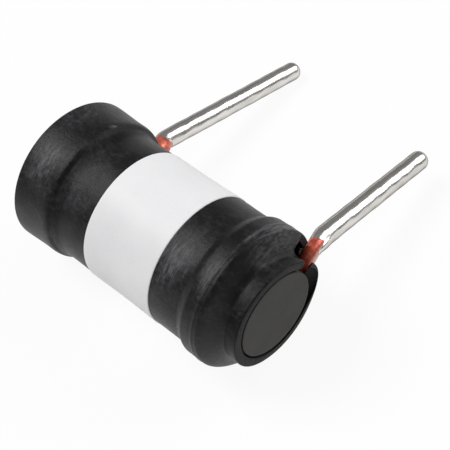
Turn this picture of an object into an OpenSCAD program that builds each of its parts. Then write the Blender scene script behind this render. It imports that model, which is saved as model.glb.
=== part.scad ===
// Fixed inductor. A ferrite rod carries one layer of thick enamelled wire, and the stripped and
// tinned ends of that wire are the two leads. A black tube is shrunk over the winding and a bare
// white film runs round its middle. Millimetres, +Z up, X along the rod. The part lies on its side,
// as it comes to rest on a table, with the far lead's tip on the ground.

/* [Ferrite rod] */
// Rod diameter
core_d = 6.0; // [4:0.1:9]
// Rod length
core_l = 18.5; // [14:0.1:24]
// Chamfer at both rims
core_edge = 0.12; // [0.02:0.02:0.4]

/* [Wire] */
// Diameter over the enamel
wire_d = 1.12; // [0.6:0.01:1.3]
// Diameter of the bare copper
copper_d = 1.0; // [0.5:0.01:1.2]
// Least gap from turn to turn
turn_gap = 0.02; // [0.01:0.01:0.3]
// Rod left bare beyond the close turns, at either end
end_bare = 2.4; // [2.2:0.05:4]
// How far the sprung end turns stand off at the far end
lift_far = 0.38; // [0:0.02:0.8]
// How far the sprung end turns stand off at the near end
lift_near = 0.30; // [0:0.02:0.8]
// Radius of the bend from the last turn into a lead
bend_r = 1.5; // [1:0.1:2]
// Angle before the near lead at which the wire leaves the winding
leave_near = 18; // [10:1:24]
// How far beyond its lead the near end turn stands
jog_near = 0.35; // [0:0.05:0.6]

/* [Leads] */
// Middle of the far lead from the rod's end
inset_far = 1.85; // [1.5:0.05:2.2]
// Middle of the near lead from the rod's end
inset_near = 1.72; // [1.5:0.02:2.2]
// Tip of the far lead, from the rod's axis
reach_far = 20.2; // [12:0.1:30]
// Tip of the near lead, from the rod's axis
reach_near = 17.8; // [12:0.1:30]
// Sideways offset of the far lead from the rod's axis
offset_far = 0.08; // [-0.5:0.02:1.4]
// Sideways offset of the near lead from the rod's axis
offset_near = 1.05; // [0:0.05:1.4]
// Lean of the far lead towards the middle, degrees
toe_far = 3.0; // [0:0.1:6]
// Lean of the near lead towards the middle, degrees
toe_near = 1.9; // [0:0.1:6]
// Diameter over the tin
tin_d = 1.38; // [1.3:0.01:1.7]
// Enamel left beyond the bend on the far lead
enamel_far = 1.15; // [0.5:0.05:3]
// Enamel left beyond the bend on the near lead
enamel_near = 0.2; // [0.1:0.05:3]
// Length over which the tin grows to its full diameter
tin_run = 0.9; // [0.3:0.1:2]
// Tin beyond the copper at a tip
tin_cover = 1.0; // [0.8:0.1:2]

/* [Sleeve] */
// Wall of the shrunk tube
wall = 0.52; // [0.3:0.02:0.8]
// Room between the tube and what it is shrunk over
shrink_fit = 0.03; // [0.02:0.01:0.1]
// Flare of the far end, which has not shrunk down
rim_flare = 0.08; // [0:0.01:0.3]
// Tube beyond the rod at the far end
rim_over = 0.08; // [-0.5:0.01:1]
// Tube beyond the rod at the near end
lip_over = 0.10; // [-0.3:0.01:0.6]
// Flare of the near lip
lip_flare = 0.28; // [0:0.01:0.5]
// Extra lip on the side of the near lead
lip_bulge = 0.26; // [0:0.02:0.6]
// Length of the far step
step_run = 1.33; // [0.6:0.05:2]
// Length of the near shoulder
shoulder_run = 1.25; // [0.8:0.05:1.6]
// How far the shoulder is held out over the near lead's last turn
hood = 1.20; // [0.3:0.05:1.2]
// Bulge over the far lead's last turn
cap_bulge = 0.24; // [0:0.02:0.5]
// Room beside the far lead in its slot
slot_room = 0.25; // [0.1:0.05:0.6]
// Room beside the near lead in its slot
hole_room = 0.6; // [0.1:0.05:0.6]
// Sideways lean of the near slot at the lip, degrees
slot_lean = 28; // [0:1:40]

/* [Band] */
// Width of the white film
band_w = 5.9; // [2:0.1:8]
// Middle of the film from the rod's middle
band_x = 0.06; // [-1:0.02:1]
// Thickness of the film
band_t = 0.05; // [0.03:0.01:0.2]

/* [Hidden] */
$fn = 64;
// Points round the wire, along one turn, along a bend and along what lies beyond it
wire_sides = 8;
turn_steps = 22;
bend_steps = 8;
base_steps = 4;
run_steps = 2;
// Columns round the sleeve
columns = 60;
eps = 0.01;

core_r = core_d / 2;
wire_r = wire_d / 2;
copper_r = copper_d / 2;
tin_r = tin_d / 2;
// As many close turns as the room takes, spread over all of it
coil_room = core_l - 2 * end_bare;
turns = floor(coil_room / (wire_d + turn_gap));
pitch = coil_room / turns;
x_far = -core_l / 2 + inset_far;
x_near = core_l / 2 - inset_near;
// The flats of the swept wire touch the rod
coil_r = (core_r + wire_r) / cos(180 / turn_steps);
r_far = coil_r + lift_far;
r_near = coil_r + lift_near;
// The far end bends straight off the winding; the near end runs on a little before it bends
leave_far = asin((offset_far + bend_r) / (r_far + bend_r));
run_near = (offset_near + r_near * sin(leave_near)) / cos(leave_near) - bend_r * tan(45 - leave_near / 2);
y_far = (r_far + bend_r) * cos(leave_far);
y_near = (r_near + bend_r) * cos(leave_near) + run_near * sin(leave_near);
tin_from_far = y_far + enamel_far;
tin_from_near = y_near + enamel_near;
angle_end = 360 * turns - leave_near;
coil_half = pitch * (angle_end - leave_far) / 720;
// Turn angles over which the near end shifts outwards, and turns over which the ends are lifted
shift_near = 160;
lift_turns_far = 0.25;
lift_turns_near = 0.4;
lift_blend = 0.6;

function smooth(t) = t <= 0 ? 0 : t >= 1 ? 1 : t * t * (3 - 2 * t);
function ramp(x, from, to) = smooth((x - from) / (to - from));
function wrapped(a) = a - 360 * round(a / 360);
function bell(a, at, width) = exp(-pow(wrapped(a - at) / width, 2));
function unit(v) = v / norm(v);
function polar(x, r, a) = [x, r * cos(a), r * sin(a)];

// The helix: close turns, with both ends lifted and the near end shifted outwards
function coil_x(a) = -coil_half + pitch * (a - leave_far) / 360
    + (x_near + jog_near - coil_half) * ramp(a, angle_end - shift_near, angle_end);
function coil_radius(a) = coil_r
    + lift_far * (1 - ramp(a, leave_far + 360 * lift_turns_far, leave_far + 360 * (lift_turns_far + lift_blend)))
    + lift_near * ramp(a, angle_end - 360 * (lift_turns_near + lift_blend), angle_end - 360 * lift_turns_near);
function coil_point(a) = polar(coil_x(a), coil_radius(a), a);

// The leads, as lines along y
function lead_far(y) = [x_far + tan(toe_far) * (y - y_far), y, offset_far];
function lead_near(y) = [x_near - tan(toe_near) * (y - y_near), y, offset_near];
heading_far = unit(lead_far(1) - lead_far(0));
heading_near = unit(lead_near(1) - lead_near(0));

// The far end jogs out to its lead beyond the bend; the near end comes back to its lead on the way out
jog_from = r_near * cos(leave_near);
function far_x(y) = -coil_half + (lead_far(y)[0] + coil_half) * ramp(y, y_far, tin_from_far);
function near_x(y) = x_near + jog_near
    + (lead_near(y)[0] - x_near - jog_near) * ramp(y, jog_from, tin_from_near);
function base_far(y) = [far_x(y), y, offset_far];
function bend_far(b) = [-coil_half, y_far + bend_r * cos(b), offset_far + bend_r + bend_r * sin(b)];
function run_off(u) =
    let (y = jog_from + u * sin(leave_near))
    [near_x(y), y, u * cos(leave_near) - r_near * sin(leave_near)];
function bend_near(b) =
    let (y = y_near + bend_r * cos(b))
    [near_x(y), y, offset_near - bend_r + bend_r * sin(b)];

// The middle of the enamelled wire from tin to tin
coil_steps = ceil(turn_steps * (angle_end - leave_far) / 360);
path = concat(
    [for (i = [0 : base_steps]) base_far(tin_from_far - enamel_far * i / base_steps)],
    [for (i = [1 : bend_steps - 1]) bend_far(270 + (leave_far - 90) * i / bend_steps)],
    [for (i = [0 : coil_steps]) coil_point(leave_far + (angle_end - leave_far) * i / coil_steps)],
    [for (i = [1 : run_steps]) run_off(run_near * i / run_steps)],
    [for (i = [1 : bend_steps]) bend_near(180 - leave_near + (leave_near - 90) * i / bend_steps)],
    [lead_near(tin_from_near)]);
path_end = len(path) - 1;
function path_heading(i) = i == 0 ? -heading_far : i == path_end ? heading_near : unit(path[i + 1] - path[i - 1]);

// Every ring of the wire: where it is, where it heads, and its radius
rings = concat(
    [[lead_far(reach_far - tin_cover), -heading_far, copper_r],
     [path[0], -heading_far, copper_r]],
    [for (i = [0 : path_end]) [path[i], path_heading(i), wire_r]],
    [[path[path_end], heading_near, copper_r],
     [lead_near(reach_near - tin_cover), heading_near, copper_r]]);

function ring_points(ring) =
    let (t = ring[1],
         side = unit([1, 0, 0] - t[0] * t),
         out = cross(t, side))
    [for (k = [0 : wire_sides - 1])
        ring[0] + ring[2] * (cos(360 * k / wire_sides) * out + sin(360 * k / wire_sides) * side)];

module swept_wire() {
    last = len(rings) - 1;
    points = [for (ring = rings) each ring_points(ring)];
    function at(i, k) = i * wire_sides + k % wire_sides;
    skin = [for (i = [0 : last - 1], k = [0 : wire_sides - 1])
        each [[at(i, k), at(i + 1, k), at(i + 1, k + 1)], [at(i, k), at(i + 1, k + 1), at(i, k + 1)]]];
    caps = [[for (k = [0 : wire_sides - 1]) at(0, k)],
            [for (k = [wire_sides - 1 : -1 : 0]) at(last, k)]];
    polyhedron(points, concat(skin, caps), convexity = 20);
}

// The sleeve's stations along the rod, tied to what lies under it
rim_x = -core_l / 2 - rim_over;
lip_x = core_l / 2 + lip_over;
sleeve_r = coil_r + wire_r + shrink_fit + wall;
cap_r = sleeve_r + lift_far;
ridge_r = sleeve_r + lift_near;
bore_r = (core_r + shrink_fit) / cos(360 / columns);
waist_r = bore_r + wall;
lip_r = waist_r + lip_flare;
coil_end = coil_half + wire_r;
step_from = -coil_end + 0.68 * wire_d;
ridge_from = coil_end - 1.76 * wire_d;
ridge_to = coil_end - 1.08 * wire_d;
shoulder_from = coil_end - 0.12 * wire_d;
lip_from = lip_x - 0.7;
slot_root_far = -coil_half + wire_r + slot_room;
slot_root_near = x_near - wire_r - hole_room;
// Angles of the slots and the bulges round the rod, from the leads' plane
slot_far_at = 4;
slot_far_half = 10;
slot_near_at = 2;
slot_near_half = 15;
slot_blend = 9;
hood_at = -25;
hood_width = 70;
bulge_at = 5;
bulge_width = 45;
lip_at = 8;
lip_width = 25;

function sleeve_out(x, a) =
    let (held = hood * bell(a, hood_at, hood_width),
         from = shoulder_from + held,
         to = min(from + shoulder_run * (1 - 0.2 * held), lip_x - 0.2))
    sleeve_r
    + (cap_r - sleeve_r + cap_bulge * bell(a, bulge_at, bulge_width)) * (1 - ramp(x, step_from, step_from + step_run))
    + rim_flare * (1 - ramp(x, rim_x, step_from - 0.5))
    + (ridge_r - sleeve_r) * ramp(x, ridge_from, ridge_to)
    - (ridge_r - waist_r) * ramp(x, from, to)
    + (lip_flare + lip_bulge * bell(a, lip_at, lip_width)) * ramp(x, lip_from, lip_x);
function sleeve_in(x, a) =
    let (slope = (sleeve_out(x + eps, a) - sleeve_out(x - eps, a)) / (2 * eps))
    max(bore_r, sleeve_out(x, a) - wall * min(sqrt(1 + slope * slope), 1.25));

// Columns stand closer on the leads' side; near the lip they lean with the slot
function column(j) = 360 * j / columns - 25 * sin(360 * j / columns);
function lean(x) = slot_lean * ramp(x, x_near + jog_near + wire_r, lip_x);
function slot(a, at, half) = 1 - ramp(abs(wrapped(a - at)), half, half + slot_blend);
stations = concat(
    [rim_x, rim_x + 1.2, step_from - 0.6],
    [for (i = [0 : 5]) step_from + step_run * i / 5],
    [-band_w / 2 + band_x, band_w / 2 + band_x],
    [for (i = [0 : 4]) ridge_from + (ridge_to - ridge_from) * i / 4],
    [for (i = [0 : 14]) shoulder_from - 0.35 + (lip_x - shoulder_from + 0.35) * i / 14]);
fold_far = step_from + step_run;
fold_near = ridge_to;
function station_x(x, c) =
    x < fold_far ? fold_far + (x - fold_far)
        * (1 - slot(c, slot_far_at, slot_far_half) * (slot_root_far - rim_x) / (fold_far - rim_x)) :
    x > fold_near ? fold_near + (x - fold_near)
        * (1 - slot(c, slot_near_at, slot_near_half) * (lip_x - slot_root_near) / (lip_x - fold_near)) : x;

module shrunk_tube() {
    last = len(stations) - 1;
    function outer(i, j) = let (c = column(j), x = station_x(stations[i], c), a = c + lean(x))
        polar(x, sleeve_out(x, a), a);
    function inner(i, j) = let (c = column(j), x = station_x(stations[i], c), a = c + lean(x))
        polar(x, sleeve_in(x, a), a);
    points = concat(
        [for (i = [0 : last], j = [0 : columns - 1]) outer(i, j)],
        [for (i = [0 : last], j = [0 : columns - 1]) inner(i, j)]);
    function out(i, j) = i * columns + j % columns;
    function inn(i, j) = (last + 1) * columns + out(i, j);
    skin = [for (i = [0 : last - 1], j = [0 : columns - 1])
        each [[out(i, j), out(i, j + 1), out(i + 1, j + 1)], [out(i, j), out(i + 1, j + 1), out(i + 1, j)],
              [inn(i, j), inn(i + 1, j + 1), inn(i, j + 1)], [inn(i, j), inn(i + 1, j), inn(i + 1, j + 1)]]];
    rims = [for (j = [0 : columns - 1])
        each [[out(0, j), inn(0, j), inn(0, j + 1)], [out(0, j), inn(0, j + 1), out(0, j + 1)],
              [out(last, j), inn(last, j + 1), inn(last, j)], [out(last, j), out(last, j + 1), inn(last, j + 1)]]];
    polyhedron(points, concat(skin, rims), convexity = 12);
}

// One tin coat along +Z, with the bare copper's bore
module tin_coat(length) {
    difference() {
        union() {
            cylinder(r1 = wire_r, r2 = tin_r, h = tin_run);
            translate([0, 0, tin_run])
                cylinder(r = tin_r, h = length - tin_run - tin_r);
            translate([0, 0, length - tin_r])
                sphere(r = tin_r);
        }
        translate([0, 0, -eps])
            cylinder(r = copper_r, h = length - tin_cover + eps);
    }
}

// How the part lies: rolled until the first tip touches, on the tube's fattest ring
rest_h = cap_r + rim_flare;
function roll_for(y, offset) = asin((rest_h - tin_r) / norm([y - tin_r, offset])) + atan2(offset, y - tin_r);
roll = min(roll_for(reach_far, offset_far), roll_for(reach_near, offset_near));
function tip_y(y, offset) = (y - tin_r) * cos(roll) + offset * sin(roll) + tin_r;
mid_x = (rim_x + lip_x) / 2;
mid_y = (max(tip_y(reach_far, offset_far), tip_y(reach_near, offset_near)) - rest_h) / 2;

module lying() {
    translate([-mid_x, -mid_y, rest_h])
        rotate([-roll, 0, 0])
            children();
}

module ferrite_core() {
    color([0.25, 0.25, 0.24])
        lying()
            translate([-core_l / 2, 0, 0])
                rotate([0, 90, 0])
                    rotate_extrude()
                        polygon([[0, 0], [core_r - core_edge, 0], [core_r, core_edge],
                            [core_r, core_l - core_edge], [core_r - core_edge, core_l], [0, core_l]]);
}

module winding() {
    color([0.65, 0.22, 0.14])
        lying()
            swept_wire();
}

module tin_far() {
    color([0.80, 0.79, 0.76])
        lying()
            translate(lead_far(tin_from_far))
                rotate([0, 0, -toe_far])
                    rotate([-90, 0, 0])
                        tin_coat((reach_far - tin_from_far) / cos(toe_far));
}

module tin_near() {
    color([0.80, 0.79, 0.76])
        lying()
            translate(lead_near(tin_from_near))
                rotate([0, 0, toe_near])
                    rotate([-90, 0, 0])
                        tin_coat((reach_near - tin_from_near) / cos(toe_near));
}

module shrink_sleeve() {
    color([0.09, 0.09, 0.10])
        lying()
            shrunk_tube();
}

module marking_band() {
    color([0.92, 0.92, 0.92])
        lying()
            translate([band_x - band_w / 2, 0, 0])
                rotate([0, 90, 0])
                    difference() {
                        cylinder(r = sleeve_r + band_t, h = band_w);
                        translate([0, 0, -eps])
                            cylinder(r = sleeve_r, h = band_w + 2 * eps);
                    }
}

ferrite_core();
winding();
tin_far();
tin_near();
shrink_sleeve();
marking_band();
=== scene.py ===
import math

import bpy
import numpy as np
from mathutils import Matrix, Vector


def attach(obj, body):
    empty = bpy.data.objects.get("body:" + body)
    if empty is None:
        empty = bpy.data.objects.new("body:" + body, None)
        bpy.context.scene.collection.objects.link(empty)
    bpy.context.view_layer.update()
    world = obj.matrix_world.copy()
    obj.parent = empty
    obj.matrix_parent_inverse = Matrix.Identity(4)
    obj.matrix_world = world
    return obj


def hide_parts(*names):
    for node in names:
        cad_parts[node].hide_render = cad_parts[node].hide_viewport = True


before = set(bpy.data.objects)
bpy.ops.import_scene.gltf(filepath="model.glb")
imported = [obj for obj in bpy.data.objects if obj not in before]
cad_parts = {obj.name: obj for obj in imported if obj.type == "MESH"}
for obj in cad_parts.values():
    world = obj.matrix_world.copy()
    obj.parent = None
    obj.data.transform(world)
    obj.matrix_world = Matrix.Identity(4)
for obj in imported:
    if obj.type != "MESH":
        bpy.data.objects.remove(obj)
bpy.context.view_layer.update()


# The ferrite core: a plain rod of pressed and sintered ferrite.
# Both end faces are ground flat and the sharp rim is just broken.
# Nothing holds it but the tight winding and the shrunk sleeve.
mm = 0.001
roll = math.radians(13.499634)
mid_x = 0.01
mid_y = 7.2565165
rest_h = 5.166608
core_r = 3.0
core_half = 9.25
core_x = 0.12
core_edge = 0.05
core_hub = 0.15
core_columns = 192
core_edge_steps = 8
core_face_rings = 12
core_side_rings = 24
noise_low = 0.3
noise_high = 0.7


def lay(points):
    """Points in the rod's own frame, in mm, as they lie on the floor, in metres."""
    points = np.asarray(points, dtype=float)
    x = points[..., 0] - mid_x
    y = points[..., 1] * math.cos(roll) + points[..., 2] * math.sin(roll) - mid_y
    z = points[..., 2] * math.cos(roll) - points[..., 1] * math.sin(roll) + rest_h
    return np.stack([x, y, z], axis=-1) * mm


def polar(x, r, a):
    """A point at x along the rod, r from its middle and a degrees from the leads' plane."""
    x, r, a = np.broadcast_arrays(x, r, np.radians(a))
    return np.stack([x, r * np.cos(a), r * np.sin(a)], axis=-1)


def skin(name, rings, loop=False, crease=40.0):
    """A closed mesh through rings of points. Its ends are capped, or joined where loop is true."""
    count, around = rings.shape[:2]
    points = list(map(tuple, lay(rings.reshape(-1, 3))))
    faces = []
    for i in range(count if loop else count - 1):
        here = i * around
        there = (i + 1) % count * around
        for j in range(around):
            k = (j + 1) % around
            faces.append((here + j, there + j, there + k, here + k))
    if not loop:
        last = (count - 1) * around
        first_middle = len(points)
        points.append(tuple(lay(rings[0].mean(axis=0))))
        points.append(tuple(lay(rings[-1].mean(axis=0))))
        for j in range(around):
            k = (j + 1) % around
            faces.append((first_middle, j, k))
            faces.append((first_middle + 1, last + k, last + j))
    mesh = bpy.data.meshes.new(name)
    mesh.from_pydata(points, [], faces)
    mesh.update()
    mesh.shade_smooth()
    mesh.set_sharp_from_angle(angle=math.radians(crease))
    piece = bpy.data.objects.new(name, mesh)
    bpy.context.scene.collection.objects.link(piece)
    return piece


def node(tree, kind, sockets, **settings):
    """A node with its settings, and its sockets set to values or linked to other sockets."""
    made = tree.nodes.new(kind)
    for name, value in settings.items():
        setattr(made, name, value)
    for name, value in sockets.items():
        if isinstance(value, bpy.types.NodeSocket):
            tree.links.new(value, made.inputs[name])
        else:
            made.inputs[name].default_value = value
    return made


def rod_place(tree, grain):
    """The place in the rod's own frame, counted in grains of these sizes in mm."""
    place = node(tree, "ShaderNodeTexCoord", {})
    turned = node(
        tree,
        "ShaderNodeMapping",
        {
            "Vector": place.outputs["Object"],
            "Location": (-mid_x * mm, -mid_y * mm, rest_h * mm),
            "Rotation": (-roll, 0.0, 0.0),
            "Scale": tuple(size * mm for size in grain),
        },
        vector_type="TEXTURE",
    )
    return turned.outputs["Vector"]


def noise(tree, grain, detail=4.0, rough=0.55, warp=0.0):
    """Noise with grains of about these sizes in mm."""
    made = node(
        tree,
        "ShaderNodeTexNoise",
        {
            "Vector": rod_place(tree, grain),
            "Scale": 1.0,
            "Detail": detail,
            "Roughness": rough,
            "Distortion": warp,
        },
    )
    return made.outputs["Fac"]


def ramp_of(tree, value, *stops):
    """Colours that follow a value, each stop a place and a colour."""
    made = node(tree, "ShaderNodeValToRGB", {"Fac": value})
    band = made.color_ramp
    while len(band.elements) < len(stops):
        band.elements.new(1.0)
    for element, (place, colour) in zip(band.elements, stops):
        element.position = place
        element.color = (*colour, 1.0)
    return made.outputs["Color"]


def span(tree, value, low, high, start=0.0, end=1.0):
    """A value carried from one span to another and held within it."""
    made = node(
        tree,
        "ShaderNodeMapRange",
        {"Value": value, "From Min": low, "From Max": high, "To Min": start, "To Max": end},
    )
    return made.outputs["Result"]


def reckon(tree, operation, first, second):
    """One step of arithmetic on two values."""
    made = node(tree, "ShaderNodeMath", {0: first, 1: second}, operation=operation)
    return made.outputs["Value"]


def mean(tree, first, second):
    """Halfway between two values."""
    return reckon(tree, "MULTIPLY", reckon(tree, "ADD", first, second), 0.5)


def material(name):
    """A new material, with its node tree and its principled shader."""
    made = bpy.data.materials.new(name)
    made.use_nodes = True
    return made, made.node_tree, made.node_tree.nodes["Principled BSDF"]


def roughen(tree, shader, value, smooth, rough):
    """Roughness that follows a noise, from smooth where it is low to rough where it is high."""
    spread = span(tree, value, noise_low, noise_high, smooth, rough)
    tree.links.new(spread, shader.inputs["Roughness"])


def bump(tree, shader, height, depth, strength):
    """Relief that follows a height, depth in mm."""
    made = node(tree, "ShaderNodeBump", {"Height": height, "Distance": depth * mm, "Strength": strength})
    tree.links.new(made.outputs["Normal"], shader.inputs["Normal"])


ferrite_dark = (0.030, 0.030, 0.026)
ferrite_mid = (0.041, 0.040, 0.036)
ferrite_pale = (0.056, 0.054, 0.048)
ferrite, tree, shader = material("ground_ferrite")
cloud = noise(tree, (2.2, 2.2, 2.2))
speck = noise(tree, (0.09, 0.09, 0.09), detail=2.0)
mottle = mean(tree, cloud, speck)
colour = ramp_of(tree, mottle, (0.34, ferrite_dark), (0.5, ferrite_mid), (0.68, ferrite_pale))
tree.links.new(colour, shader.inputs["Base Color"])
roughen(tree, shader, speck, smooth=0.5, rough=0.66)
shader.inputs["Specular IOR Level"].default_value = 0.22
bump(tree, shader, speck, depth=0.012, strength=0.5)

turn = np.arange(core_columns) * 360.0 / core_columns
edge = np.linspace(0.0, math.pi / 2, core_edge_steps)
face_r = np.linspace(core_hub, core_r - core_edge, core_face_rings, endpoint=False)
edge_r = core_r - core_edge + core_edge * np.sin(edge)
edge_x = core_half - core_edge + core_edge * np.cos(edge)
side_x = np.linspace(core_half - core_edge, core_edge - core_half, core_side_rings)[1:-1]
outline_x = np.concatenate([np.full(core_face_rings, core_half), edge_x, side_x])
outline_r = np.concatenate([face_r, edge_r, np.full(side_x.size, core_r)])
outline_x = np.concatenate([outline_x, -edge_x[::-1], np.full(core_face_rings, -core_half)])
outline_r = np.concatenate([outline_r, edge_r[::-1], face_r[::-1]])
core = skin("ferrite_rod", polar(core_x + outline_x[:, None], outline_r[:, None], turn[None, :]))
core.data.materials.append(ferrite)
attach(core, "root")
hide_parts("ferrite_core")


# The winding: one length of thick red-brown enamelled copper wire, drawn round.
# Twelve turns lie close on the rod, the end turns sprung a little proud of the rest.
# Each end is bent off its turn and runs on as a lead.
wire_r = 0.56
wire_sides = 24
turn_steps = 96
bend_steps = 24
lead_steps = 40
coil_r = 3.5966
coil_half = 6.79487
pitch = 1.141667
bend_r = 1.5
leave_far = 16.768
leave_near = 18.0
angle_end = 4302.0
shift_near = 160.0
lift_far = 0.38
lift_near = 0.30
lift_turns_far = 0.25
lift_turns_near = 0.4
lift_blend = 0.6
r_near = coil_r + lift_near
x_far = -7.40
x_near = 7.53
y_far = 5.24374
y_near = 5.52812
offset_far = 0.08
offset_near = 1.05
toe_far = math.tan(math.radians(3.0))
toe_near = math.tan(math.radians(1.9))
jog_near = 0.40
jog_end_near = 6.9
jog_from_far = 5.55
jog_end_far = 6.9
run_near = 1.28031
foot_swell = 0.20
foot_from = 5.3
foot_full = 5.7
foot_fade = 6.7
foot_end = 7.2
scrape_from = 0.72
scrape_full = 0.88
scrape_low = 4.0
scrape_run = 0.4
wire_end_far = 9.0
wire_end_near = 8.0
reach_far = 20.2
reach_near = 17.65


def ramp(x, start, end):
    """A smooth rise from 0 at start to 1 at end."""
    t = np.clip((x - start) / (end - start), 0.0, 1.0)
    return t * t * (3.0 - 2.0 * t)


def coil(a):
    """The wire's middle on the rod, a degrees round from the first lead."""
    end_shift = (x_near + jog_near - coil_half) * ramp(a, angle_end - shift_near, angle_end)
    x = -coil_half + pitch * (a - leave_far) / 360.0 + end_shift
    first = leave_far + 360.0 * lift_turns_far
    last = angle_end - 360.0 * lift_turns_near
    r = coil_r + lift_far * (1.0 - ramp(a, first, first + 360.0 * lift_blend))
    r = r + lift_near * ramp(a, last - 360.0 * lift_blend, last)
    return polar(x, r, a)


def foot(y):
    """1 where the enamel has run back and swollen at the foot of the far lead."""
    return ramp(y, foot_from, foot_full) * (1.0 - ramp(y, foot_fade, foot_end))


def lead_far(y):
    """The far wire's middle beyond its bend."""
    line = x_far + toe_far * (y - y_far)
    x = -coil_half + (line + coil_half) * ramp(y, jog_from_far, jog_end_far)
    return np.stack([x, y, np.full_like(y, offset_far)], axis=-1)


def near_x(y):
    """How far along the rod the near wire's middle is, from its turn to its lead."""
    line = x_near - toe_near * np.maximum(y - y_near, 0.0)
    return line + jog_near * (1.0 - ramp(y, r_near * math.cos(math.radians(leave_near)), jog_end_near))


def lead_near(y):
    """The near wire's middle beyond its bend."""
    return np.stack([near_x(y), y, np.full_like(y, offset_near)], axis=-1)


def rise_near():
    """The near wire's middle as it leaves its turn, with the bend into the lead."""
    leave = math.radians(leave_near)
    u = np.linspace(0.0, run_near, bend_steps)[1:]
    run_y = r_near * math.cos(leave) + u * math.sin(leave)
    run_z = u * math.cos(leave) - r_near * math.sin(leave)
    b = np.radians(np.linspace(180.0 - leave_near, 90.0, bend_steps))[1:]
    y = np.concatenate([run_y, y_near + bend_r * np.cos(b)])
    z = np.concatenate([run_z, offset_near - bend_r + bend_r * np.sin(b)])
    return np.stack([near_x(y), y, z], axis=-1)


bend_b = np.radians(np.linspace(270.0, 180.0 + leave_far, bend_steps))[1:-1]
bend_far = np.stack(
    [
        np.full_like(bend_b, -coil_half),
        y_far + bend_r * np.cos(bend_b),
        offset_far + bend_r + bend_r * np.sin(bend_b),
    ],
    axis=-1,
)
far_y = np.linspace(wire_end_far, y_far, lead_steps)
coil_count = int(turn_steps * (angle_end - leave_far) / 360.0)
wire_path = np.concatenate(
    [
        lead_far(far_y),
        bend_far,
        coil(np.linspace(leave_far, angle_end, coil_count)),
        rise_near(),
        lead_near(np.linspace(y_near, wire_end_near, lead_steps)[1:]),
    ]
)
swell = np.ones(len(wire_path))
swell[:lead_steps] = 1.0 + foot_swell * foot(far_y)


def mark(mesh, name, values):
    """Gives every point of a mesh a value that its nodes read."""
    layer = mesh.attributes.new(name, "FLOAT", "POINT")
    layer.data.foreach_set("value", np.asarray(values, dtype=np.float32).ravel())


enamel_dark = (0.20, 0.020, 0.010)
enamel_mid = (0.64, 0.100, 0.052)
enamel_pale = (0.86, 0.21, 0.13)
enamel_scraped = (0.62, 0.42, 0.36)
enamel, tree, shader = material("red_enamel")
cloud = noise(tree, (0.7, 0.5, 0.5), detail=5.0)
grain = noise(tree, (0.12, 0.2, 0.2), detail=3.0)
colour = ramp_of(tree, cloud, (0.3, enamel_dark), (0.48, enamel_mid), (0.66, enamel_pale))
bared = node(tree, "ShaderNodeAttribute", {}, attribute_name="scraped").outputs["Fac"]
paling = reckon(tree, "MULTIPLY", bared, span(tree, grain, low=0.35, high=0.6, start=0.35))
mixed = node(
    tree,
    "ShaderNodeMix",
    {"Factor": paling, "A": colour, "B": (*enamel_scraped, 1.0)},
    data_type="RGBA",
)
tree.links.new(mixed.outputs["Result"], shader.inputs["Base Color"])
roughen(tree, shader, grain, smooth=0.32, rough=0.48)
shader.inputs["Metallic"].default_value = 0.45
shader.inputs["Coat Weight"].default_value = 0.5
shader.inputs["Coat Roughness"].default_value = 0.15
bump(tree, shader, cloud, depth=0.05, strength=0.6)

drawn = bpy.data.node_groups.new("drawn_wire", "GeometryNodeTree")
interface = drawn.interface
interface.new_socket("Path", in_out="INPUT", socket_type="NodeSocketGeometry")
radius_socket = interface.new_socket("Wire radius", in_out="INPUT", socket_type="NodeSocketFloat")
sides_socket = interface.new_socket("Sides", in_out="INPUT", socket_type="NodeSocketInt")
finish_socket = interface.new_socket("Finish", in_out="INPUT", socket_type="NodeSocketMaterial")
interface.new_socket("Wire", in_out="OUTPUT", socket_type="NodeSocketGeometry")
given = node(drawn, "NodeGroupInput", {})
line = node(drawn, "GeometryNodeMeshToCurve", {"Mesh": given.outputs["Path"]})
ring = node(
    drawn,
    "GeometryNodeCurvePrimitiveCircle",
    {"Resolution": given.outputs["Sides"], "Radius": given.outputs["Wire radius"]},
)
thick = node(drawn, "GeometryNodeInputNamedAttribute", {"Name": "swell"}, data_type="FLOAT")
swept = node(
    drawn,
    "GeometryNodeCurveToMesh",
    {
        "Curve": line.outputs["Curve"],
        "Profile Curve": ring.outputs["Curve"],
        "Scale": thick.outputs["Attribute"],
        "Fill Caps": True,
    },
)
soft = node(drawn, "GeometryNodeSetShadeSmooth", {"Geometry": swept.outputs["Mesh"]})
whole = node(drawn, "GeometryNodeRealizeInstances", {"Geometry": soft.outputs["Geometry"]})
dressed = node(
    drawn,
    "GeometryNodeSetMaterial",
    {"Geometry": whole.outputs["Geometry"], "Material": given.outputs["Finish"]},
)
node(drawn, "NodeGroupOutput", {"Wire": dressed.outputs["Geometry"]})

path_mesh = bpy.data.meshes.new("wire_path")
path_links = [(i, i + 1) for i in range(len(wire_path) - 1)]
path_mesh.from_pydata(list(map(tuple, lay(wire_path))), path_links, [])
mark(path_mesh, "swell", swell)
winding = bpy.data.objects.new("wound_wire", path_mesh)
bpy.context.scene.collection.objects.link(winding)
sweep = winding.modifiers.new("drawn_wire", "NODES")
sweep.node_group = drawn
sweep[radius_socket.identifier] = wire_r * mm
sweep[sides_socket.identifier] = wire_sides
sweep[finish_socket.identifier] = enamel
looked_at = bpy.context.evaluated_depsgraph_get()
wound = bpy.data.meshes.new_from_object(winding.evaluated_get(looked_at))
winding.modifiers.clear()
winding.data = wound
spots = np.empty((len(wound.vertices), 3))
wound.vertices.foreach_get("co", spots.ravel())
spots = spots / mm
facing = np.empty((len(wound.vertices), 3))
wound.vertices.foreach_get("normal", facing.ravel())
spot_y = (spots[:, 1] + mid_y) * math.cos(roll) - (spots[:, 2] - rest_h) * math.sin(roll)
scraped = ramp(facing[:, 0], scrape_from, scrape_full) * (spots[:, 0] > x_near)
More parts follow.
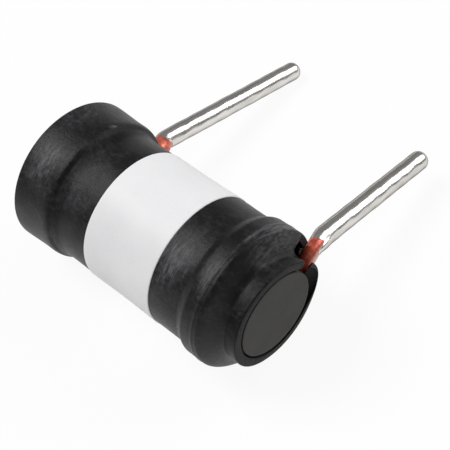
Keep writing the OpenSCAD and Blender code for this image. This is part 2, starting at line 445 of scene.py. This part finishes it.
mark(wound, "scraped", scraped * ramp(spot_y, scrape_low, scrape_low + scrape_run))
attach(winding, "root")
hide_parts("winding")


# The tin coats: solder left on each stripped end of the wire when it was dipped.
# Bright and uneven, thicker than the wire, with a ragged start over the enamel
# and a rounded drop at the tip.
tin_r = 0.69
tin_around = 48
tin_rings = 150
tip_rings = 14
tip_length = 0.62
lead_points = 240
ring_crowd = 1.6
along_step = 0.02
start_far = 6.62
start_near = 5.54
start_lean = 0.17
start_wave = 0.25
start_slant = 0.30
creep_at = 0.05
creep_width = 0.62
creep_depth = 0.85
creep_power = 4
slant_at = 0.63
start_r_far = 0.678
start_r_near = 0.572
tin_run_far = 1.6
tin_run_near = 1.0
tin_bite = 0.03
ragged = 0.03
ragged_lobes = 5.0
ragged_turn = 0.6
ragged_fine = 0.02
ragged_fine_lobes = 9.0
lump_height = 0.010
lump_lobes = 2.0
lump_wave = 1.9
lump_twist = 0.55
lump_run = 1.2
lump_end = 0.6
ripple_share = 0.6
ripple_lobes = 3.0
ripple_wave = 4.3
lump_phase_far = 0.4
lump_phase_near = 2.1

tin_dark = (0.61, 0.59, 0.555)
tin_mid = (0.71, 0.685, 0.655)
tin_pale = (0.79, 0.77, 0.745)
tin, tree, shader = material("dipped_tin")
streak = noise(tree, (0.30, 3.2, 0.30), detail=5.0, rough=0.6)
blotch = noise(tree, (0.22, 0.7, 0.22), detail=4.0)
fine = noise(tree, (0.07, 0.5, 0.07), detail=3.0)
hairline = noise(tree, (0.10, 2.6, 0.10), detail=3.0)
colour = ramp_of(
    tree,
    mean(tree, streak, hairline),
    (0.36, tin_dark),
    (0.48, tin_mid),
    (0.60, tin_pale),
)
tree.links.new(colour, shader.inputs["Base Color"])
roughen(tree, shader, blotch, smooth=0.15, rough=0.27)
shader.inputs["Metallic"].default_value = 1.0
shader.inputs["Specular Tint"].default_value = (0.22, 0.22, 0.22, 1.0)
bump(tree, shader, reckon(tree, "ADD", blotch, fine), depth=0.016, strength=0.28)


def along(path, s):
    """The point and direction at each length s in mm along a path."""
    steps = np.linalg.norm(np.diff(path, axis=0), axis=1)
    lengths = np.concatenate([[0.0], np.cumsum(steps)])
    behind, at, ahead = (
        np.stack([np.interp(place, lengths, path[:, i]) for i in range(3)], axis=-1)
        for place in (s - along_step, s, s + along_step)
    )
    way = ahead - behind
    return at, way / np.linalg.norm(way, axis=-1, keepdims=True)


def tin_coat(name, path, start, start_r, run, phase):
    """A coat round the wire, from start at each angle round it to a rounded tip."""
    around = np.arange(tin_around) * 2.0 * math.pi / tin_around
    total = np.linalg.norm(np.diff(path, axis=0), axis=1).sum()
    body_end = total - tip_length
    share = np.linspace(0.0, 1.0, tin_rings) ** ring_crowd
    s = start(around)[None, :] + share[:, None] * (body_end - start(around))[None, :]
    since = s - s[0]
    r = start_r + (tin_r - start_r) * ramp(since, 0.0, run)
    lumps = np.sin(lump_wave * s + phase + np.sin(around + phase))
    lumps = lumps * np.cos(lump_lobes * around + lump_twist * s)
    lumps = lumps + ripple_share * np.sin(ripple_wave * s + 2.0 * phase + ripple_lobes * around)
    lumps = lumps * ramp(since, 0.0, lump_run) * (1.0 - ramp(s, body_end - lump_end, body_end))
    r = r + lump_height * lumps
    r[0] = wire_r - tin_bite
    drop = np.linspace(0.0, 1.0, tip_rings + 1)[1:-1]
    tip_s = body_end + tip_length * np.sin(drop * math.pi / 2)
    tip_r = tin_r * np.cos(drop * math.pi / 2)
    s = np.concatenate([s, np.repeat(tip_s[:, None], tin_around, axis=1)])
    r = np.concatenate([r, np.repeat(tip_r[:, None], tin_around, axis=1)])
    at, way = along(path, s)
    side = np.array([1.0, 0.0, 0.0]) - way[..., :1] * way
    side = side / np.linalg.norm(side, axis=-1, keepdims=True)
    up = np.cross(way, side)
    outward = np.cos(around)[None, :, None] * side + np.sin(around)[None, :, None] * up
    rings = at + r[..., None] * outward
    piece = skin(name, rings[:, ::-1], crease=60.0)
    piece.data.materials.append(tin)
    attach(piece, "root")
    return piece


def ragged_far(a):
    """Where the far coat starts at each angle round the wire."""
    slant = start_lean * np.cos(a - slant_at) + start_wave * np.cos(2.0 * (a - slant_at))
    return start_far - y_far + slant + ragged * np.sin(ragged_lobes * a + ragged_turn)


near_rise = rise_near()
near_before = np.linalg.norm(np.diff(near_rise, axis=0), axis=1).sum()


def ragged_near(a):
    """Where the near coat starts: it has crept down the side that faces out."""
    slant = start_slant * (1.0 + np.cos(a - slant_at)) / 2.0
    off = np.mod(a - creep_at + math.pi, 2.0 * math.pi) - math.pi
    creep = creep_depth * np.exp(-((off / creep_width) ** creep_power))
    torn = ragged * np.sin(ragged_lobes * a) + ragged_fine * np.sin(ragged_fine_lobes * a)
    return near_before + start_near - y_near + slant - creep + torn


far_path = lead_far(np.linspace(y_far, reach_far, lead_points))
near_path = np.concatenate([near_rise, lead_near(np.linspace(y_near, reach_near, lead_points)[1:])])
coat_far = tin_coat("tin_coat_far", far_path, ragged_far, start_r_far, tin_run_far, lump_phase_far)
coat_near = tin_coat("tin_coat_near", near_path, ragged_near, start_r_near, tin_run_near, lump_phase_near)
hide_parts("tin_far")
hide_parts("tin_near")


# The sleeve: a length of black heat-shrink tube drawn down over the winding.
# It stands proud over the sprung end turns, stays open past the rod at the far end
# and necks in to a thick flared lip round the rod at the near end, slit for each wire.
wall = 0.52
sleeve_r = 4.70661
cap_r = 5.08661
ridge_r = 5.00661
waist_r = 3.56669
bore_r = 3.04669
rim_x = -9.33
lip_x = 9.35
step_from = -6.5933
step_run = 1.33
crease_x = -6.08
crease_run = 0.30
crease_share = 0.34
rim_flare = 0.08
rim_flare_end = 0.5
cap_bulge = 0.24
cap_bulge_at = 5.0
cap_bulge_spread = 45.0
ridge_from = 5.3837
ridge_to = 6.1453
shoulder_from = 7.2205
shoulder_run = 1.25
shoulder_haste = 0.2
neck_end = 0.2
hood = 1.2
hood_at = -25.0
hood_spread = 70.0
hood_slack = 0.20
hood_slack_at = 24.0
hood_slack_spread = 18.0
crest_x = 6.98
crest_height = 0.035
crest_width = 0.11
crest_gap = 60.0
lip_from = 7.9
lip_to = 8.7
lip_swell = 0.10
lip_swell_low = 0.12
lip_low_at = -125.0
lip_swell_side = 0.09
lip_side_at = -60.0
lip_swell_spread = 35.0
lip_bulge = 0.30
lip_bulge_at = 20.0
lip_bulge_spread = 27.0
band_x = 0.06
band_half = 2.95
waist_depth = 0.035
dent_depth = 0.012
dent_clear = 1.2
dent_waves = (
    (1.0, 2.0, 0.7, 0.0),
    (0.7, 3.0, -0.9, 1.3),
    (0.5, 5.0, 1.7, 0.0),
)
slot_far_at = 4.0
slot_far_half = 10.0
slot_far_blend = 9.0
slot_far_root = -5.985
slot_near_at = 16.0
slot_near_root = 7.2
hole_sill = 0.24
hole_sill_end = 6.0
hole_top = 0.20
hole_top_from = 22.0
hole_top_to = 32.0
hole_shut_from = 36.0
hole_shut_to = 40.0
hole_low_from = 24.0
hole_low_to = 31.0
slot_lean = 27.0
slot_lean_reach = 120.0
slot_pinch = 1.10
slot_pinch_reach = 60.0
slot_lean_from = 8.2
sleeve_columns = 300
column_gather = 25.0
fold_far = -5.2633
fold_near = 5.3
far_stations = 60
middle_stations = 26
near_stations = 100
crowd = 0.35
crowd_power = 6
rim_edge = 0.13
lip_edge = 0.08
edge_steps = 5
slope_step = 0.02
slope_most = 1.25
lip_gap_low = 0.17
lip_gap_low_at = -75.0
lip_gap_low_spread = 60.0
lip_gap_side = 0.80
lip_gap_side_at = 12.0
lip_gap_side_spread = 32.0
lip_gap_from = 8.5
lip_bore_from = 8.2
lip_bore_to = 8.9


def around_from(a, at):
    """Degrees from at, the short way round."""
    return np.mod(a - at + 180.0, 360.0) - 180.0


def bell(a, at, width):
    """1 at an angle, falling off on both sides of it."""
    return np.exp(-((around_from(a, at) / width) ** 2))


def hump(x, at, width):
    """1 at a place along the rod, falling off on both sides of it."""
    return np.exp(-(((x - at) / width) ** 2))


def sleeve_out(x, a):
    """The sleeve's outer radius at x along the rod and a degrees round it."""
    held = hood * bell(a, hood_at, hood_spread) - hood_slack * bell(a, hood_slack_at, hood_slack_spread)
    shoulder = shoulder_from + held
    neck = np.minimum(shoulder + shoulder_run * (1.0 - shoulder_haste * held), lip_x - neck_end)
    step = ramp(x, step_from, step_from + step_run)
    crease = ramp(x, crease_x - crease_run / 2.0, crease_x + crease_run / 2.0)
    fall = step + crease_share * (crease - step)
    cap = (cap_r - sleeve_r + cap_bulge * bell(a, cap_bulge_at, cap_bulge_spread)) * (1.0 - fall)
    rim = rim_flare * (1.0 - ramp(x, rim_x, step_from - rim_flare_end))
    ridge = (ridge_r - sleeve_r) * ramp(x, ridge_from, ridge_to)
    necked = (ridge_r - waist_r) * ramp(x, shoulder, neck)
    lip = lip_swell + lip_swell_low * bell(a, lip_low_at, lip_swell_spread)
    lip = lip + lip_swell_side * bell(a, lip_side_at, lip_swell_spread)
    lip = lip * ramp(x, lip_from, lip_to)
    bulge = lip_bulge * bell(a, lip_bulge_at, lip_bulge_spread) * ramp(x, lip_to, lip_x)
    waist = waist_depth * (1.0 - ramp(np.abs(x - band_x), 0.0, band_half))
    crest = crest_height * hump(x, crest_x, crest_width) * (1.0 - bell(a, hood_at, crest_gap))
    return sleeve_r + cap + rim + ridge - necked + lip + bulge - waist + crest


def unevenness(x, a):
    """Soft dents and swells of the drawn tube, clear of the band."""
    dents = sum(
        height * np.sin(lobes * np.radians(a) + twist * x + phase)
        for height, lobes, twist, phase in dent_waves
    )
    return dent_depth * dents * ramp(np.abs(x - band_x), band_half, band_half + dent_clear)


def far_slit(c):
    """1 across the far slit, 0 clear of it."""
    return 1.0 - ramp(np.abs(around_from(c, slot_far_at)), slot_far_half, slot_far_half + slot_far_blend)


def near_slit(c):
    """1 at the root of the near hole, 0 clear of it: a round hole with a slit on to the lip."""
    off = around_from(c, slot_near_at)
    upper = 1.0 - hole_sill * ramp(off, 0.0, hole_sill_end) - hole_top * ramp(off, hole_top_from, hole_top_to)
    upper = upper * (1.0 - ramp(off, hole_shut_from, hole_shut_to))
    lower = 1.0 - ramp(-off, hole_low_from, hole_low_to)
    return np.where(off > 0.0, upper, lower)


def sheared(x, c):
    """The angle that a column has moved to at x: the near slit leans and closes in towards the lip."""
    off = around_from(c, slot_near_at)
    lean = slot_lean * np.exp(-((off / slot_lean_reach) ** 2))
    pinch = slot_pinch * off * np.exp(-((off / slot_pinch_reach) ** 2))
    return c + ramp(x, slot_lean_from, lip_x) * (lean - pinch)


def crowded(x, end):
    """Stations along each column that keep their places until they crowd up to its end."""
    room = crowd * np.log1p(np.exp((end - x) / crowd))
    left = room[-1] * ((x - fold_near) / (x[-1] - fold_near)) ** crowd_power
    return end - room + left


even = np.arange(sleeve_columns) * 360.0 / sleeve_columns
columns = even - column_gather * np.sin(np.radians(even))
end_far = rim_x + far_slit(columns) * (slot_far_root - rim_x)
end_near = lip_x - near_slit(columns) * (lip_x - slot_near_root)
far_share = np.linspace(0.0, 1.0, far_stations, endpoint=False)[:, None]
near_share = np.linspace(0.0, 1.0, near_stations + 1)[1:, None]
far_part = end_far + rim_edge + far_share * (fold_far - end_far - rim_edge)
middle_line = np.linspace(fold_far, fold_near, middle_stations)
middle_part = np.repeat(middle_line[:, None], sleeve_columns, axis=1)
near_part = crowded(fold_near + near_share * (lip_x - lip_edge - fold_near), end_near - lip_edge)
outer_x = np.concatenate([far_part, middle_part, near_part])


def cut_edge(radius):
    """How far a cut edge is set back, and its depth in the wall, from its outer to its inner corner."""
    quarter = np.linspace(0.0, math.pi / 2, edge_steps + 1)[1:]
    back = radius * (1.0 - np.sin(quarter))
    depth = radius / wall * (1.0 - np.cos(quarter))
    back = np.concatenate([back, back[::-1]])
    depth = np.concatenate([depth, 1.0 - depth[::-1]])
    return back[:, None], np.repeat(depth[:, None], sleeve_columns, axis=1)


lip_back, lip_depth = cut_edge(lip_edge)
rim_back, rim_depth = cut_edge(rim_edge)
inner_x = outer_x[::-2]
# The loop is taken back to front, from near to far on the outside, so that its faces point outwards.
loop_x = np.concatenate([outer_x, end_near - lip_back, inner_x, (end_far + rim_back)[::-1]])[::-1]
loop_depth = np.concatenate(
    [np.zeros_like(outer_x), lip_depth, np.ones_like(inner_x), rim_depth[::-1]]
)[::-1]
loop_a = sheared(loop_x, columns[None, :])
loop_out = sleeve_out(loop_x, loop_a) + unevenness(loop_x, loop_a)
rise = sleeve_out(loop_x + slope_step, loop_a) - sleeve_out(loop_x - slope_step, loop_a)
slope = rise / (2.0 * slope_step)
body_in = np.maximum(bore_r, loop_out - wall * np.minimum(np.sqrt(1.0 + slope * slope), slope_most))
gap_low = lip_gap_low * bell(loop_a, lip_gap_low_at, lip_gap_low_spread)
gap_side = lip_gap_side * bell(loop_a, lip_gap_side_at, lip_gap_side_spread)
lip_in = bore_r + (gap_low + gap_side) * ramp(loop_x, lip_gap_from, lip_x)
loop_in = body_in + (lip_in - body_in) * ramp(loop_x, lip_bore_from, lip_bore_to)
loop_r = loop_out - loop_depth * (loop_out - loop_in)
sleeve = skin("drawn_sleeve", polar(loop_x, loop_r, loop_a), loop=True, crease=50.0)

# Each pale patch, partly a real scuff and partly a painted highlight, most of them near 130 degrees round
# where the front-left lamp's reflection falls: its place along the tube and round it, its length, its width
# in degrees, and its depth.
scuffs_and_highlights = (
    (-6.34, 77.0, 0.14, 3.5, 1.4),
    (-7.8, 133.0, 1.0, 16.0, 1.1),
    (-8.3, 75.0, 0.9, 25.0, 0.35),
    (-4.7, 140.0, 0.9, 12.0, 0.25),
    (3.9, 138.0, 1.1, 22.0, 0.9),
    (7.6, 68.0, 0.8, 18.0, 0.9),
    (6.7, 131.0, 0.5, 14.0, 0.9),
    (7.0, 93.0, 0.12, 22.0, 0.7),
    (8.0, 94.0, 0.45, 11.0, 0.7),
    (8.95, 136.0, 0.3, 18.0, 0.3),
    (-6.0, 188.0, 0.5, 9.0, 0.5),
)
# The pale patches as one value at each point: real scuffs, and painted highlight where the lamp's reflection
# falls.
chafe_and_highlight = sum(
    depth * hump(loop_x, at_x, length) * bell(loop_a, at_a, width)
    for at_x, at_a, length, width, depth in scuffs_and_highlights
)
dull_share = 0.6
dull_lip_from = 8.3
dull_lip_to = 8.9
dull_step_x = -5.5
dull_step_width = 0.5
cut_face = 0.15
inner_face = 0.8
dull = np.maximum(ramp(loop_x, dull_lip_from, dull_lip_to), hump(loop_x, dull_step_x, dull_step_width))
dull = np.maximum(dull_share * dull, ramp(loop_depth, 0.0, cut_face))
# The scuffs and their painted highlight go to the tube's material as one value.
mark(sleeve.data, "chafe_and_highlight", chafe_and_highlight)
# Painted shade: the inner wall is marked so that its colour is darkened, standing in for the shade in the
# deep gap round the rod.
mark(sleeve.data, "inside", ramp(loop_depth, inner_face, 1.0))
mark(sleeve.data, "dull", dull)

# The first colour is painted shade, which the darkened inner wall falls to.
sleeve_inner_shade = (0.003, 0.003, 0.003)
sleeve_dark = (0.003, 0.003, 0.0033)
sleeve_mid = (0.0065, 0.0065, 0.007)
sleeve_pale = (0.024, 0.024, 0.026)
# The palest colour is both scuff and painted highlight.
sleeve_scuffed_and_lit = (0.11, 0.11, 0.115)
inside_shade = 0.4
tube, tree, shader = material("black_shrink_tube")
cloud = noise(tree, (2.6, 2.0, 2.0), detail=6.0, rough=0.6, warp=0.4)
dust = noise(tree, (0.35, 0.25, 0.25), detail=6.0, rough=0.7)
grain = noise(tree, (0.07, 0.07, 0.07), detail=2.0)
strand = noise(tree, (0.10, 0.8, 0.8), detail=4.0, rough=0.6)
# Pale scuffs and painted highlight, broken into fine strands, lift the colour towards the palest.
rubbed_and_lit = node(tree, "ShaderNodeAttribute", {}, attribute_name="chafe_and_highlight").outputs["Fac"]
hidden = node(tree, "ShaderNodeAttribute", {}, attribute_name="inside").outputs["Fac"]
matt = node(tree, "ShaderNodeAttribute", {}, attribute_name="dull").outputs["Fac"]
frayed = span(tree, strand, low=0.36, high=0.68, start=0.10, end=0.58)
strands_scuffed_and_lit = reckon(tree, "MULTIPLY", frayed, rubbed_and_lit)
paling = reckon(tree, "ADD", mean(tree, cloud, dust), strands_scuffed_and_lit)
# Painted shade: the inner wall's value is lowered, towards the darkest colour.
shade = reckon(tree, "MULTIPLY", hidden, inside_shade)
colour = ramp_of(
    tree,
    reckon(tree, "SUBTRACT", paling, shade),
    (0.2, sleeve_inner_shade),
    (0.40, sleeve_dark),
    (0.50, sleeve_mid),
    (0.62, sleeve_pale),
    (0.95, sleeve_scuffed_and_lit),
)
tree.links.new(colour, shader.inputs["Base Color"])
roughen(tree, shader, dust, smooth=0.34, rough=0.48)
gloss = span(tree, matt, low=0.0, high=1.0, start=0.23, end=0.08)
tree.links.new(gloss, shader.inputs["Specular IOR Level"])
bump(tree, shader, reckon(tree, "ADD", dust, grain), depth=0.03, strength=0.7)
sleeve.data.materials.append(tube)
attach(sleeve, "root")
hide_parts("shrink_sleeve")


# The marking band: a turn of thin white film round the sleeve's middle.
# It hugs the tube, so it is waisted a little as the tube is, and its edges are cut clean.
# It is bare.
band_t = 0.05
band_sunk = 0.02
band_edge_steps = 5
band_columns = 256
band_stations = 30

white_low = (0.84, 0.84, 0.852)
white_mid = (0.87, 0.87, 0.882)
white_high = (0.895, 0.895, 0.905)
film, tree, shader = material("white_film")
cloud = noise(tree, (3.0, 2.4, 2.4), detail=3.0)
weave = noise(tree, (0.10, 0.10, 0.10), detail=2.0)
mottle = mean(tree, cloud, weave)
colour = ramp_of(tree, mottle, (0.36, white_low), (0.5, white_mid), (0.64, white_high))
tree.links.new(colour, shader.inputs["Base Color"])
roughen(tree, shader, weave, smooth=0.42, rough=0.55)
shader.inputs["Specular IOR Level"].default_value = 0.3
bump(tree, shader, weave, depth=0.006, strength=0.4)

turn = np.arange(band_columns) * 360.0 / band_columns
flat_x = np.linspace(band_x - band_half + band_t, band_x + band_half - band_t, band_stations)
round_edge = np.linspace(0.0, math.pi / 2, band_edge_steps)[1:]
edge_x = band_x + band_half - band_t + band_t * np.sin(round_edge)
film_x = np.concatenate([flat_x, edge_x, flat_x[::-1], (2.0 * band_x - edge_x)[::-1]])
film_h = np.concatenate(
    [
        np.full(band_stations, band_t),
        band_t * np.cos(round_edge),
        np.full(band_stations, -band_sunk),
        (band_t * np.cos(round_edge))[::-1],
    ]
)
film_r = sleeve_out(film_x[:, None], turn[None, :]) + film_h[:, None]
film_loop = polar(film_x[:, None], film_r, turn[None, :])
band = skin("white_band", film_loop[::-1], loop=True, crease=60.0)
band.data.materials.append(film)
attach(band, "root")
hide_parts("marking_band")


# The studio: a plain white floor, with a soft lamp high in front on the left
# and a wide one behind on the right.
# The floor is white to the eye and in the metal, and keeps the part's soft shadow.
floor_half = 0.6
floor_white = (0.92, 0.92, 0.92, 1.0)
floor_glow = 0.92
plain_white = (1.0, 1.0, 1.0, 1.0)
sky_strength = 0.25
front_left = (-0.176, -0.09, 0.30)
front_left_size = 0.14
front_left_power = 0.84
back_right = (0.11, 0.26, 0.19)
back_right_size = 0.21
back_right_power = 0.42
eye_right = Vector((0.722276, 0.680686, -0.122413))
eye_up = Vector((-0.49142, 0.629654, 0.6017))
eye_back = Vector((0.486646, -0.374437, 0.789286))
eye_place = Vector((0.039938, -0.033276, 0.066463))

floor_mesh = bpy.data.meshes.new("studio_floor")
floor_mesh.from_pydata(
    [
        (-floor_half, -floor_half, 0.0),
        (floor_half, -floor_half, 0.0),
        (floor_half, floor_half, 0.0),
        (-floor_half, floor_half, 0.0),
    ],
    [],
    [(0, 1, 2, 3)],
)
floor = bpy.data.objects.new("studio_floor", floor_mesh)
bpy.context.scene.collection.objects.link(floor)
paper, tree, shader = material("white_paper")
shader.inputs["Base Color"].default_value = floor_white
shader.inputs["Roughness"].default_value = 0.9
shader.inputs["Specular IOR Level"].default_value = 0.0
rays = node(tree, "ShaderNodeLightPath", {}).outputs
seen = reckon(tree, "MAXIMUM", rays["Is Camera Ray"], rays["Is Glossy Ray"])
seen = reckon(tree, "MAXIMUM", seen, rays["Is Transmission Ray"])
share = reckon(tree, "MULTIPLY", seen, floor_glow)
glow = node(tree, "ShaderNodeEmission", {"Color": plain_white, "Strength": 1.0})
blend = node(
    tree,
    "ShaderNodeMixShader",
    {0: share, 1: shader.outputs["BSDF"], 2: glow.outputs["Emission"]},
)
tree.links.new(blend.outputs["Shader"], tree.nodes["Material Output"].inputs["Surface"])
floor_mesh.materials.append(paper)

world = bpy.data.worlds.new("studio")
bpy.context.scene.world = world
world.use_nodes = True
sky = world.node_tree.nodes["Background"]
sky.inputs["Color"].default_value = plain_white
sky.inputs["Strength"].default_value = sky_strength


def lamp(name, place, size, power):
    """A soft square lamp turned to the part."""
    light = bpy.data.lights.new(name, "AREA")
    light.shape = "SQUARE"
    light.size = size
    light.energy = power
    made = bpy.data.objects.new(name, light)
    made.location = place
    made.rotation_euler = (-Vector(place)).to_track_quat("-Z", "Y").to_euler()
    bpy.context.scene.collection.objects.link(made)


lamp("lamp_front_left", front_left, front_left_size, front_left_power)
lamp("lamp_back_right", back_right, back_right_size, back_right_power)

eye = bpy.data.cameras.new("eye")
eye.lens = 96.0
eye.sensor_width = 36.0
eye.clip_start = 0.005
camera = bpy.data.objects.new("eye", eye)
turned = Matrix((eye_right, eye_up, eye_back)).transposed().to_4x4()
turned.translation = eye_place
camera.matrix_world = turned
bpy.context.scene.collection.objects.link(camera)
bpy.context.scene.camera = camera
bpy.context.scene.view_settings.view_transform = "Standard"

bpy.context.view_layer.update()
